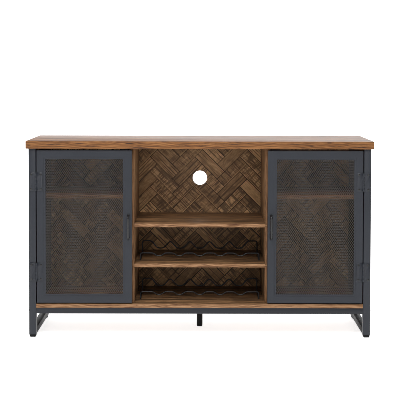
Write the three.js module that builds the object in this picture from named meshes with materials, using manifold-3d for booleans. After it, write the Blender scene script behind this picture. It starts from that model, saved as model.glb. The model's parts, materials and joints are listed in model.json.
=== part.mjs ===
// TV stand with a steel tube frame, wooden boards, two mesh doors and two wire bottle racks.
// Millimetres, +Z up, the front faces -Y, and the floor is at z = 0.

import * as THREE from 'three';
import { mergeVertices } from 'three/addons/utils/BufferGeometryUtils.js';
import Module from 'manifold-3d';

const wasm = await Module();
wasm.setup();

// ---- driving dimensions ----

const GAP = 0.3;

const TOP_WIDTH = 1473;
const TOP_DEPTH = 400;
const HEIGHT = 838;
const TOP_THICKNESS = 32;
const BOARD = 16;
const SIDE_BOARD = 12;
const BACK_BOARD = 5;

const FRAME_WIDTH = 1452;
const FRAME_DEPTH = 376;
const TUBE = 30;
const TUBE_WALL = 1.2;
const TUBE_CORNER = 2;
const RAIL_HEIGHT = 25;
const UNDERSIDE = 102;
const GLIDE_HEIGHT = 12;
const GLIDE_INSET = 1;
const GLIDE_TAPER = 1.5;
const GLIDE_ROUNDING = 5;

const DIVIDER_FACE = 279;
const HOUSING_DEPTH = 8;
const TONGUE_THICKNESS = 8;
const INTERIOR_FRONT = -166;
const SHELF_UPPER_TOP = 485;
const SHELF_LOWER_TOP = 313;
const SIDE_SHELF_TOP = 604;
const SIDE_SHELF_FRONT = -137;
const CABLE_HOLE_RADIUS = 33;
const CABLE_HOLE_HEIGHT = 645;

const DOOR_INNER_EDGE = 288;
const DOOR_OUTER_EDGE = 692.4;
const DOOR_BOTTOM = 148;
const DOOR_TOP = 799;
const DOOR_MEMBER = 30;
const DOOR_DEPTH = 20;
const DOOR_LIP = 8;
const LIP_THICKNESS = 1.5;
const LIP_SETBACK = 1.5;
const MESH_THICKNESS = 1.2;

const HINGE_HEIGHT = 80;
const HINGE_CENTRES = [665, 280];
const LEAF_WIDTH = 28;
const LEAF_THICKNESS = 1.6;
const KNUCKLE_RADIUS = 3.5;
const KNUCKLE_COUNT = 5;
const KNUCKLE_GAP = 0.4;
const PIN_RADIUS = 1.5;
const PIN_BORE = 1.8;
const SCREW_RADIUS = 4.5;
const SCREW_DOME = 1.4;
const SCREW_FROM_AXIS = 20;
const SCREW_SPACING = 62;

const HANDLE_CENTRES = 96;
const HANDLE_HEIGHT = 474;
const HANDLE_RADIUS = 5;
const HANDLE_REACH = 26;
const HANDLE_BEND = 13;
const HANDLE_FOOT_RADIUS = 6;
const HANDLE_FOOT_HEIGHT = 2.5;

const CATCH_START = 300;
const CATCH_SIZE = [40, 14, 14];
const STRIKE_SIZE = [36, 1.2, 14];
const STRIKE_DROP = 2;

const WIRE_RADIUS = 2.4;
const RACK_HALF_WIDTH = 258;
const RACK_FRONT = -85;
const RACK_BACK = 80;
const CRADLE_COUNT = 5;
const CRADLE_PITCH = 88.4;
const BACK_WIRE_HIGH = 58;
const BACK_WIRE_LOW = 25;
const BACK_CRADLE_FLAT = 28;
const BACK_SHOULDER_END = 40;
const BACK_BEND = 11;
const FRONT_WIRE_HIGH = 31;
const FRONT_WIRE_LOW = 19;
const FRONT_CRADLE_WIDTH = 50;
const FRONT_CRADLE_FLAT = 20;
const FRONT_BEND = 9;

const LEG_RADIUS = 13;
const LEG_WALL = 1.5;
const LEG_SET_BACK = 20;
const FOOT_HEIGHT = 9;
const FOOT_ROUNDING = 3;
const SPIGOT_HEIGHT = 12;
const SPIGOT_CLEARANCE = 0.3;
const CAP_INSET = 0.5;

// How far a cutting tool runs past the piece that it cuts.
const OVERRUN = 1;

// ---- derived planes ----

const FRAME_HALF = FRAME_WIDTH / 2;
const POST_FACE = FRAME_HALF - TUBE;
const FRONT = -FRAME_DEPTH / 2;
const REAR = FRAME_DEPTH / 2;
const UNDER_TOP = HEIGHT - TOP_THICKNESS;
const RAIL_TOP = UNDERSIDE + RAIL_HEIGHT;
const FLOOR_TOP = RAIL_TOP + GAP + BOARD;
const INSIDE_LOW = FLOOR_TOP + GAP;
const INSIDE_HIGH = UNDER_TOP - GAP;
const SIDE_FACE = POST_FACE - GAP - SIDE_BOARD;
const DIVIDER_OUTER = DIVIDER_FACE + BOARD;
const HINGE_X = (POST_FACE + DOOR_OUTER_EDGE) / 2;
const HINGE_Y = FRONT - GAP - KNUCKLE_RADIUS;
const HANDLE_FRONT = FRONT - GAP - HANDLE_REACH - HANDLE_RADIUS;

// ---- materials ----

function material(color, roughness, metalness) {
  return new THREE.MeshStandardMaterial({ color, roughness, metalness });
}

const wood = material(0x9a6b45, 0.6, 0);
const edgeWood = material(0xb48a62, 0.6, 0);
const parquet = material(0x5a4331, 0.65, 0);
const slate = material(0x48494e, 0.45, 0.6);
const black = material(0x17171a, 0.4, 0.5);
const plastic = material(0x101012, 0.5, 0);
const steel = material(0xb9bcc0, 0.3, 1);

// ---- solids ----

const cabinet = new THREE.Group();

// Merges the corners that neighbouring faces share and drops the faces that this closes up.
function weld(geometry) {
  const plain = geometry.clone();
  plain.deleteAttribute('normal');
  plain.deleteAttribute('uv');
  const merged = mergeVertices(plain, 1e-4);
  const source = merged.index.array;
  const kept = [];
  for (let i = 0; i < source.length; i += 3) {
    const [a, b, c] = [source[i], source[i + 1], source[i + 2]];
    if (a !== b && b !== c && c !== a) {
      kept.push(a, b, c);
    }
  }
  merged.setIndex(kept);
  return merged;
}

function solidOf(geometry) {
  const merged = weld(geometry);
  const vertProperties = new Float32Array(merged.attributes.position.array);
  const triVerts = new Uint32Array(merged.index.array);
  return new wasm.Manifold(new wasm.Mesh({ numProp: 3, vertProperties, triVerts }));
}

function geometryOf(solid) {
  const mesh = solid.getMesh();
  const geometry = new THREE.BufferGeometry();
  geometry.setAttribute('position', new THREE.BufferAttribute(mesh.vertProperties, 3));
  geometry.setIndex(new THREE.BufferAttribute(mesh.triVerts, 1));
  return geometry;
}

function join(geometries) {
  return geometryOf(geometries.map(solidOf).reduce((whole, solid) => whole.add(solid)));
}

function cut(geometry, tools) {
  return geometryOf(tools.map(solidOf).reduce((whole, tool) => whole.subtract(tool), solidOf(geometry)));
}

function addPart(name, geometry, look) {
  const flat = weld(geometry).toNonIndexed();
  flat.computeVertexNormals();
  const mesh = new THREE.Mesh(flat, look);
  mesh.name = name;
  cabinet.add(mesh);
  return mesh;
}

// A box given by its ranges along X, Y and Z.
function box(rangeX, rangeY, rangeZ) {
  const ranges = [rangeX, rangeY, rangeZ];
  const geometry = new THREE.BoxGeometry(...ranges.map(([low, high]) => high - low));
  geometry.translate(...ranges.map(([low, high]) => (low + high) / 2));
  return geometry;
}

// The X range between two distances from the middle, on the left (-1) or the right (1).
function onSide(side, near, far) {
  return side < 0 ? [-far, -near] : [near, far];
}

function sideName(side) {
  return side < 0 ? 'left' : 'right';
}

function cylinderZ(radius, low, high, segments = 24) {
  const geometry = new THREE.CylinderGeometry(radius, radius, high - low, segments);
  geometry.rotateX(Math.PI / 2);
  geometry.translate(0, 0, (low + high) / 2);
  return geometry;
}

function lathe(profile, segments, phase = 0) {
  const geometry = new THREE.LatheGeometry(profile, segments, phase);
  geometry.rotateX(Math.PI / 2);
  return geometry;
}

// ---- rectangular steel tube ----

function roundedRectangle(width, depth, corner) {
  const [x, y] = [width / 2, depth / 2];
  const shape = new THREE.Shape();
  shape.moveTo(-x + corner, -y);
  shape.absarc(x - corner, -y + corner, corner, -Math.PI / 2, 0);
  shape.absarc(x - corner, y - corner, corner, 0, Math.PI / 2);
  shape.absarc(-x + corner, y - corner, corner, Math.PI / 2, Math.PI);
  shape.absarc(-x + corner, -y + corner, corner, Math.PI, Math.PI * 1.5);
  return shape;
}

function rectangleHole(lowX, highX, lowY, highY) {
  const hole = new THREE.Path();
  hole.moveTo(lowX, lowY);
  hole.lineTo(lowX, highY);
  hole.lineTo(highX, highY);
  hole.lineTo(highX, lowY);
  hole.closePath();
  return hole;
}

// An open-ended tube that stands on z = 0, centred on the Z axis.
function tube(width, depth, length) {
  const shape = roundedRectangle(width, depth, TUBE_CORNER);
  const [x, y] = [width / 2 - TUBE_WALL, depth / 2 - TUBE_WALL];
  shape.holes.push(rectangleHole(-x, x, -y, y));
  return new THREE.ExtrudeGeometry(shape, { depth: length, bevelEnabled: false, curveSegments: 1 });
}

function addPosts() {
  const low = GLIDE_HEIGHT;
  for (const side of [-1, 1]) {
    for (const [end, y] of [['front', FRONT + TUBE / 2], ['rear', REAR - TUBE / 2]]) {
      const post = addPart(`post_${end}_${sideName(side)}`, tube(TUBE, TUBE, INSIDE_HIGH - low), slate);
      post.position.set(side * (FRAME_HALF - TUBE / 2), y, low);
    }
  }
}

// Rails that run from front to back between the posts of a side.
function addSideRails() {
  const length = FRAME_DEPTH - 2 * (TUBE + GAP);
  const levels = [
    ['floor_rail', GLIDE_HEIGHT],
    ['side_rail_lower', UNDERSIDE],
    ['side_rail_upper', INSIDE_HIGH - RAIL_HEIGHT],
  ];
  for (const side of [-1, 1]) {
    for (const [name, low] of levels) {
      const rail = addPart(`${name}_${sideName(side)}`, tube(TUBE, RAIL_HEIGHT, length), slate);
      rail.rotation.x = -Math.PI / 2;
      rail.position.set(side * (FRAME_HALF - TUBE / 2), -length / 2, low + RAIL_HEIGHT / 2);
    }
  }
}

// Rails that run across between the two sides, and the short one that ties them in the middle.
function addCrossRails() {
  const length = 2 * (POST_FACE - GAP);
  const height = UNDERSIDE + RAIL_HEIGHT / 2;
  for (const [name, y] of [['front_rail', FRONT + RAIL_HEIGHT / 2], ['rear_rail', REAR - RAIL_HEIGHT / 2]]) {
    const rail = addPart(name, tube(RAIL_HEIGHT, RAIL_HEIGHT, length), slate);
    rail.rotation.y = Math.PI / 2;
    rail.position.set(-length / 2, y, height);
  }
  const span = FRAME_DEPTH - 2 * (RAIL_HEIGHT + GAP);
  const centre = addPart('centre_rail', tube(TUBE, RAIL_HEIGHT, span), slate);
  centre.rotation.x = -Math.PI / 2;
  centre.position.set(0, -span / 2, height);
}

// ---- feet ----

// A foot outline: rounded below, a shoulder under the tube, and a spigot up into it.
function footProfile(baseHalf, shoulderHalf, spigotHalf, height, rounding, scale) {
  const top = height - GAP;
  const points = [new THREE.Vector2(0, 0)];
  const arcSteps = 3;
  for (let i = 0; i <= arcSteps; i += 1) {
    const angle = (Math.PI / 2) * (i / arcSteps);
    const reach = baseHalf - rounding + rounding * Math.sin(angle);
    points.push(new THREE.Vector2(reach * scale, rounding * (1 - Math.cos(angle))));
  }
  points.push(new THREE.Vector2(shoulderHalf * scale, top));
  points.push(new THREE.Vector2(spigotHalf * scale, top));
  points.push(new THREE.Vector2(spigotHalf * scale, top + SPIGOT_HEIGHT));
  points.push(new THREE.Vector2(0, top + SPIGOT_HEIGHT));
  return points;
}

// Square plastic glides: a lathe with four sides, so its half-widths are scaled to the corners.
function addGlides() {
  const shoulder = TUBE / 2 - GLIDE_INSET;
  const base = shoulder - GLIDE_TAPER;
  const spigot = TUBE / 2 - TUBE_WALL - SPIGOT_CLEARANCE;
  const profile = footProfile(base, shoulder, spigot, GLIDE_HEIGHT, GLIDE_ROUNDING, Math.SQRT2);
  for (const side of [-1, 1]) {
    for (const [end, y] of [['front', FRONT + TUBE / 2], ['rear', REAR - TUBE / 2]]) {
      const glide = addPart(`glide_${end}_${sideName(side)}`, lathe(profile, 4, Math.PI / 4), plastic);
      glide.position.set(side * (FRAME_HALF - TUBE / 2), y, 0);
    }
  }
}

// The round leg under the middle of the floor board, and the cap that it stands on.
function addCentreLeg() {
  const bore = LEG_RADIUS - LEG_WALL;
  const outer = cylinderZ(LEG_RADIUS, FOOT_HEIGHT, UNDERSIDE - GAP, 32);
  const inner = cylinderZ(bore, FOOT_HEIGHT - OVERRUN, UNDERSIDE + OVERRUN, 32);
  const leg = addPart('support_leg', cut(outer, [inner]), black);
  const spigot = bore - SPIGOT_CLEARANCE;
  const profile = footProfile(LEG_RADIUS - CAP_INSET, LEG_RADIUS, spigot, FOOT_HEIGHT, FOOT_ROUNDING, 1);
  const foot = addPart('support_foot', lathe(profile, 32), plastic);
  leg.position.y = LEG_SET_BACK;
  foot.position.y = LEG_SET_BACK;
}

// ---- boards ----

function addTopAndFloor() {
  const [halfWidth, halfDepth] = [TOP_WIDTH / 2, TOP_DEPTH / 2];
  addPart('top_board', box([-halfWidth, halfWidth], [-halfDepth, halfDepth], [UNDER_TOP, HEIGHT]), wood);
  const half = POST_FACE - GAP;
  addPart('floor_board', box([-half, half], [FRONT, REAR], [RAIL_TOP + GAP, FLOOR_TOP]), edgeWood);
}

function addSidePanels() {
  for (const side of [-1, 1]) {
    const range = onSide(side, SIDE_FACE, POST_FACE - GAP);
    const board = box(range, [INTERIOR_FRONT, REAR], [INSIDE_LOW, INSIDE_HIGH]);
    addPart(`side_panel_${sideName(side)}`, board, wood);
  }
}

// The levels of the tongue along the end of a shelf with its top at the given height.
function tongueLevels(top) {
  const middle = top - BOARD / 2;
  return [middle - TONGUE_THICKNESS / 2, middle + TONGUE_THICKNESS / 2];
}

// The dividers have a housing cut across them for the tongue of each centre shelf.
function addDividers() {
  for (const side of [-1, 1]) {
    const range = onSide(side, DIVIDER_FACE, DIVIDER_OUTER);
    const board = box(range, [INTERIOR_FRONT, REAR], [INSIDE_LOW, INSIDE_HIGH]);
    const housings = [SHELF_UPPER_TOP, SHELF_LOWER_TOP].map(tongueLevels).map(([low, high]) => box(
      onSide(side, DIVIDER_FACE - OVERRUN, DIVIDER_FACE + HOUSING_DEPTH),
      [INTERIOR_FRONT - OVERRUN, REAR + OVERRUN],
      [low - GAP, high + GAP],
    ));
    addPart(`divider_${sideName(side)}`, cut(board, housings), wood);
  }
}

function addShelves() {
  const depth = [INTERIOR_FRONT, REAR];
  const half = DIVIDER_FACE - GAP;
  const reach = half + HOUSING_DEPTH;
  for (const [level, top] of [['upper', SHELF_UPPER_TOP], ['lower', SHELF_LOWER_TOP]]) {
    const board = box([-half, half], depth, [top - BOARD, top]);
    const tongues = box([-reach, reach], depth, tongueLevels(top));
    addPart(`centre_shelf_${level}`, join([board, tongues]), edgeWood);
  }
  for (const side of [-1, 1]) {
    const range = onSide(side, DIVIDER_OUTER + GAP, SIDE_FACE - GAP);
    const levels = [SIDE_SHELF_TOP - BOARD, SIDE_SHELF_TOP];
    addPart(`side_shelf_${sideName(side)}`, box(range, [SIDE_SHELF_FRONT, REAR], levels), edgeWood);
  }
}

// Three thin back boards behind the frame, which meet behind the dividers.
function addBackPanels() {
  const front = REAR + GAP;
  const depth = [front, front + BACK_BOARD];
  const height = [RAIL_TOP + GAP, INSIDE_HIGH];
  const seam = (DIVIDER_FACE + DIVIDER_OUTER) / 2;
  for (const side of [-1, 1]) {
    const board = box(onSide(side, seam + GAP, FRAME_HALF), depth, height);
    addPart(`back_panel_${sideName(side)}`, board, parquet);
  }
  const outline = new THREE.Shape();
  outline.moveTo(-seam, height[0]);
  outline.lineTo(seam, height[0]);
  outline.lineTo(seam, height[1]);
  outline.lineTo(-seam, height[1]);
  outline.closePath();
  const hole = new THREE.Path();
  hole.absarc(0, CABLE_HOLE_HEIGHT, CABLE_HOLE_RADIUS, 0, Math.PI * 2, true);
  outline.holes.push(hole);
  const options = { depth: BACK_BOARD, bevelEnabled: false, curveSegments: 24 };
  const centre = addPart('back_panel_centre', new THREE.ExtrudeGeometry(outline, options), parquet);
  centre.rotation.x = Math.PI / 2;
  centre.position.y = front + BACK_BOARD;
}

// ---- bent round wire and bar ----

// A path through given points, with one step of the sweep at each of them.
class PointPath extends THREE.Curve {
  constructor(points) {
    super();
    this.points = points;
  }

  getPoint(t, target = new THREE.Vector3()) {
    const place = THREE.MathUtils.clamp(t, 0, 1) * (this.points.length - 1);
    const index = Math.min(Math.floor(place), this.points.length - 2);
    return target.lerpVectors(this.points[index], this.points[index + 1], place - index);
  }

  getUtoTmapping(u) {
    return u;
  }
}

// Replaces each inner corner by an arc that starts one bend length before it, or sooner where
// the next corner is near.
function roundCorners(corners, bend, arcSteps) {
  const share = 0.45;
  const points = [corners[0]];
  for (let i = 1; i < corners.length - 1; i += 1) {
    const [before, corner, after] = [corners[i - 1], corners[i], corners[i + 1]];
    const reach = Math.min(bend, before.distanceTo(corner) * share, after.distanceTo(corner) * share);
    const start = corner.clone().lerp(before, reach / before.distanceTo(corner));
    const end = corner.clone().lerp(after, reach / after.distanceTo(corner));
    points.push(...new THREE.QuadraticBezierCurve3(start, corner, end).getPoints(arcSteps));
  }
  points.push(corners[corners.length - 1]);
  return points;
}

// A round bar along the points. A full circle takes two sides for each of its curve segments.
function sweepRound(radius, sides, points) {
  const section = new THREE.Shape();
  section.absarc(0, 0, radius, 0, Math.PI * 2);
  const steps = points.length - 1;
  const extrudePath = new PointPath(points);
  const options = { steps, curveSegments: sides / 2, extrudePath, bevelEnabled: false };
  return new THREE.ExtrudeGeometry(section, options);
}

// ---- bottle racks ----

function cradleCentres() {
  const first = (-CRADLE_PITCH * (CRADLE_COUNT - 1)) / 2;
  return Array.from({ length: CRADLE_COUNT }, (unused, index) => first + index * CRADLE_PITCH);
}

// The back wire: a shoulder at each end, and round-bottomed cradles with peaks between them.
function backWireCorners() {
  const outline = [[-RACK_HALF_WIDTH, WIRE_RADIUS], [-RACK_HALF_WIDTH, BACK_WIRE_HIGH]];
  const centres = cradleCentres();
  const shoulder = centres[0] - BACK_SHOULDER_END;
  outline.push([shoulder, BACK_WIRE_HIGH]);
  const flat = BACK_CRADLE_FLAT / 2;
  for (const [index, centre] of centres.entries()) {
    outline.push([centre - flat, BACK_WIRE_LOW], [centre + flat, BACK_WIRE_LOW]);
    if (index < CRADLE_COUNT - 1) {
      outline.push([centre + CRADLE_PITCH / 2, BACK_WIRE_HIGH]);
    }
  }
  outline.push([-shoulder, BACK_WIRE_HIGH]);
  outline.push([RACK_HALF_WIDTH, BACK_WIRE_HIGH], [RACK_HALF_WIDTH, WIRE_RADIUS]);
  return outline.map(([x, z]) => new THREE.Vector3(x, RACK_BACK, z));
}

// The front wire: level, with a shallow cradle for each neck.
function frontWireCorners() {
  const outline = [[-RACK_HALF_WIDTH, WIRE_RADIUS], [-RACK_HALF_WIDTH, FRONT_WIRE_HIGH]];
  for (const centre of cradleCentres()) {
    const [top, bottom] = [FRONT_CRADLE_WIDTH / 2, FRONT_CRADLE_FLAT / 2];
    outline.push([centre - top, FRONT_WIRE_HIGH], [centre - bottom, FRONT_WIRE_LOW]);
    outline.push([centre + bottom, FRONT_WIRE_LOW], [centre + top, FRONT_WIRE_HIGH]);
  }
  outline.push([RACK_HALF_WIDTH, FRONT_WIRE_HIGH], [RACK_HALF_WIDTH, WIRE_RADIUS]);
  return outline.map(([x, z]) => new THREE.Vector3(x, RACK_FRONT, z));
}

function rackGeometry() {
  const sides = 8;
  const arcSteps = 3;
  const backWire = sweepRound(WIRE_RADIUS, sides, roundCorners(backWireCorners(), BACK_BEND, arcSteps));
  const frontWire = sweepRound(WIRE_RADIUS, sides, roundCorners(frontWireCorners(), FRONT_BEND, arcSteps));
  const overhang = WIRE_RADIUS * 1.5;
  const runners = [-RACK_HALF_WIDTH, RACK_HALF_WIDTH].map((x) => sweepRound(WIRE_RADIUS, sides, [
    new THREE.Vector3(x, RACK_FRONT - overhang, WIRE_RADIUS),
    new THREE.Vector3(x, RACK_BACK + overhang, WIRE_RADIUS),
  ]));
  return join([backWire, frontWire, ...runners]);
}

function addRacks() {
  const geometry = rackGeometry();
  for (const [name, level] of [['bottle_rack_upper', SHELF_LOWER_TOP], ['bottle_rack_lower', FLOOR_TOP]]) {
    addPart(name, geometry, black).position.z = level + GAP;
  }
}

// ---- doors ----

// A mitred frame member along +Z: a tube with its outer edge at x = 0, and a thin lip just behind
// its front that reaches past its inner edge and holds the mesh. Each end stays half a gap off
// its mitre.
function doorMember(length) {
  const shape = new THREE.Shape();
  shape.moveTo(0, 0);
  shape.lineTo(DOOR_MEMBER, 0);
  shape.lineTo(DOOR_MEMBER, LIP_SETBACK);
  shape.lineTo(DOOR_MEMBER + DOOR_LIP, LIP_SETBACK);
  shape.lineTo(DOOR_MEMBER + DOOR_LIP, LIP_SETBACK + LIP_THICKNESS);
  shape.lineTo(DOOR_MEMBER, LIP_SETBACK + LIP_THICKNESS);
  shape.lineTo(DOOR_MEMBER, DOOR_DEPTH);
  shape.lineTo(0, DOOR_DEPTH);
  shape.closePath();
  const far = [DOOR_MEMBER - TUBE_WALL, DOOR_DEPTH - TUBE_WALL];
  shape.holes.push(rectangleHole(TUBE_WALL, far[0], TUBE_WALL, far[1]));
  const geometry = new THREE.ExtrudeGeometry(shape, { depth: 1, steps: 1, bevelEnabled: false });
  const position = geometry.attributes.position;
  for (let i = 0; i < position.count; i += 1) {
    const inset = position.getX(i) + GAP / Math.SQRT2;
    position.setZ(i, position.getZ(i) === 0 ? inset : length - inset);
  }
  return geometry;
}

function addDoorFrame(side) {
  const width = DOOR_OUTER_EDGE - DOOR_INNER_EDGE;
  const height = DOOR_TOP - DOOR_BOTTOM;
  const [low, high] = onSide(side, DOOR_INNER_EDGE, DOOR_OUTER_EDGE);
  const stiles = side < 0 ? ['hinge_stile', 'lock_stile'] : ['lock_stile', 'hinge_stile'];
  const quarter = Math.PI / 2;
  const members = [
    [stiles[0], height, 0, low, DOOR_BOTTOM],
    ['bottom_rail', width, -quarter, high, DOOR_BOTTOM],
    [stiles[1], height, 2 * quarter, high, DOOR_TOP],
    ['top_rail', width, quarter, low, DOOR_TOP],
  ];
  for (const [name, length, turn, x, z] of members) {
    const member = addPart(`door_${sideName(side)}_${name}`, doorMember(length), slate);
    member.rotation.y = turn;
    member.position.set(x, FRONT, z);
  }
}

function addDoorMesh(side) {
  const margin = DOOR_MEMBER + GAP;
  const front = FRONT + LIP_SETBACK + LIP_THICKNESS + GAP;
  const range = onSide(side, DOOR_INNER_EDGE + margin, DOOR_OUTER_EDGE - margin);
  const sheet = box(range, [front, front + MESH_THICKNESS], [DOOR_BOTTOM + margin, DOOR_TOP - margin]);
  addPart(`door_${sideName(side)}_mesh`, sheet, slate);
}

// A D-shaped pull with a round bar, a foot at each end and its long side upright.
function handleGeometry() {
  const half = HANDLE_CENTRES / 2;
  const corners = [[0, -half], [-HANDLE_REACH, -half], [-HANDLE_REACH, half], [0, half]]
    .map(([y, z]) => new THREE.Vector3(0, y, z));
  const bar = sweepRound(HANDLE_RADIUS, 12, roundCorners(corners, HANDLE_BEND, 6));
  const feet = [-half, half].map((z) => {
    const foot = new THREE.CylinderGeometry(HANDLE_FOOT_RADIUS, HANDLE_FOOT_RADIUS, HANDLE_FOOT_HEIGHT, 20);
    return foot.translate(0, -HANDLE_FOOT_HEIGHT / 2, z);
  });
  return join([bar, ...feet]);
}

function addHandle(side) {
  const handle = addPart(`door_${sideName(side)}_handle`, handleGeometry(), black);
  handle.position.set(side * (DOOR_INNER_EDGE + DOOR_MEMBER / 2), FRONT - GAP, HANDLE_HEIGHT);
}

// A magnetic catch under the top board, and the strike plate that it holds on the door.
function addCatch(side) {
  const back = FRONT + DOOR_DEPTH + GAP;
  const plateRange = onSide(side, CATCH_START + STRIKE_DROP, CATCH_START + STRIKE_DROP + STRIKE_SIZE[0]);
  const plateTop = DOOR_TOP - STRIKE_DROP;
  const plate = box(plateRange, [back, back + STRIKE_SIZE[1]], [plateTop - STRIKE_SIZE[2], plateTop]);
  addPart(`strike_plate_${sideName(side)}`, plate, steel);
  const front = back + STRIKE_SIZE[1] + GAP;
  const range = onSide(side, CATCH_START, CATCH_START + CATCH_SIZE[0]);
  const magnet = box(range, [front, front + CATCH_SIZE[1]], [INSIDE_HIGH - CATCH_SIZE[2], INSIDE_HIGH]);
  addPart(`magnetic_catch_${sideName(side)}`, magnet, plastic);
}

// ---- hinges ----

function screwHead(x, y, z) {
  const rise = 4;
  const profile = [new THREE.Vector2(0, -SCREW_DOME / 2), new THREE.Vector2(SCREW_RADIUS, -SCREW_DOME / 2)];
  for (let i = 1; i <= rise; i += 1) {
    const angle = (Math.PI / 2) * (i / rise);
    profile.push(new THREE.Vector2(SCREW_RADIUS * Math.cos(angle), SCREW_DOME * Math.sin(angle)));
  }
  const head = new THREE.LatheGeometry(profile, 14);
  head.rotateX(Math.PI);
  return head.translate(x, y, z);
}

// One leaf of a hinge on the axis line: away is 1 for the leaf on the post, -1 for the one on the door.
function leafGeometry(side, away) {
  const direction = side * away;
  const clear = KNUCKLE_RADIUS + KNUCKLE_GAP;
  const face = KNUCKLE_RADIUS;
  const plateY = [face - LEAF_THICKNESS, face];
  const half = HINGE_HEIGHT / 2;
  const pieces = [box(onSide(direction, clear, LEAF_WIDTH), plateY, [-half, half])];
  const pitch = HINGE_HEIGHT / KNUCKLE_COUNT;
  for (let i = away > 0 ? 0 : 1; i < KNUCKLE_COUNT; i += 2) {
    const low = -half + i * pitch + KNUCKLE_GAP / 2;
    const high = low + pitch - KNUCKLE_GAP;
    pieces.push(cylinderZ(KNUCKLE_RADIUS, low, high, 20));
    pieces.push(box(onSide(direction, 0, clear + 1), plateY, [low, high]));
  }
  for (const z of [-SCREW_SPACING / 2, SCREW_SPACING / 2]) {
    pieces.push(screwHead(direction * SCREW_FROM_AXIS, plateY[0], z));
  }
  if (away > 0) {
    return join([...pieces, cylinderZ(PIN_RADIUS, -half + 1, half - 1, 12)]);
  }
  return cut(join(pieces), [cylinderZ(PIN_BORE, -half, half, 16)]);
}

function addHinges(side) {
  for (const [index, height] of HINGE_CENTRES.entries()) {
    const level = index === 0 ? 'upper' : 'lower';
    for (const [owner, away] of [['post', 1], ['door', -1]]) {
      const name = `hinge_${level}_${sideName(side)}_${owner}_leaf`;
      const leaf = addPart(name, leafGeometry(side, away), slate);
      leaf.position.set(side * HINGE_X, HINGE_Y, height);
    }
  }
}

// ---- assembly ----

addTopAndFloor();
addSidePanels();
addDividers();
addShelves();
addBackPanels();
addPosts();
addSideRails();
addCrossRails();
addGlides();
addCentreLeg();
addRacks();
for (const side of [-1, 1]) {
  addDoorFrame(side);
  addDoorMesh(side);
  addHandle(side);
  addCatch(side);
  addHinges(side);
}

// The middle of the whole depth, handles included, is at y = 0.
cabinet.position.y = (-HANDLE_FRONT - TOP_DEPTH / 2) / 2;

export default cabinet;
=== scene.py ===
import json
import math
from collections import namedtuple

import bmesh
import bpy
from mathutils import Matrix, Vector


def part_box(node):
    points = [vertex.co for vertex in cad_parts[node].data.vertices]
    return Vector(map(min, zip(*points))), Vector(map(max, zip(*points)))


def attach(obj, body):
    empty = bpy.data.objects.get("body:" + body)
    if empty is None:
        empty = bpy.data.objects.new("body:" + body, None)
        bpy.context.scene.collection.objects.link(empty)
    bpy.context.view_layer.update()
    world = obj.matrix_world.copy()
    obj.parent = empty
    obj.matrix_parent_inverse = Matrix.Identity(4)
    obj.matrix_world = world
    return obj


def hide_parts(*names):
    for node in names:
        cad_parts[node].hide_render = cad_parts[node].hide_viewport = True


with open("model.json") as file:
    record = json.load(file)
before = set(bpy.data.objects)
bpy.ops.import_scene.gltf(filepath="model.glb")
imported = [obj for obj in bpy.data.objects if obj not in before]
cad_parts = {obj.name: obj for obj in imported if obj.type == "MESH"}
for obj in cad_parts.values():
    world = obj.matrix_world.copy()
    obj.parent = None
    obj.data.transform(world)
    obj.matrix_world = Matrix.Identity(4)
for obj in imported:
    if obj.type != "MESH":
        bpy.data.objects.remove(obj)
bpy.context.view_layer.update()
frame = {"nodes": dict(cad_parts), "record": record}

MM = 0.001
NODES = frame["nodes"]
SIDES = ("left", "right")


# ---- node graphs ----


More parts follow.
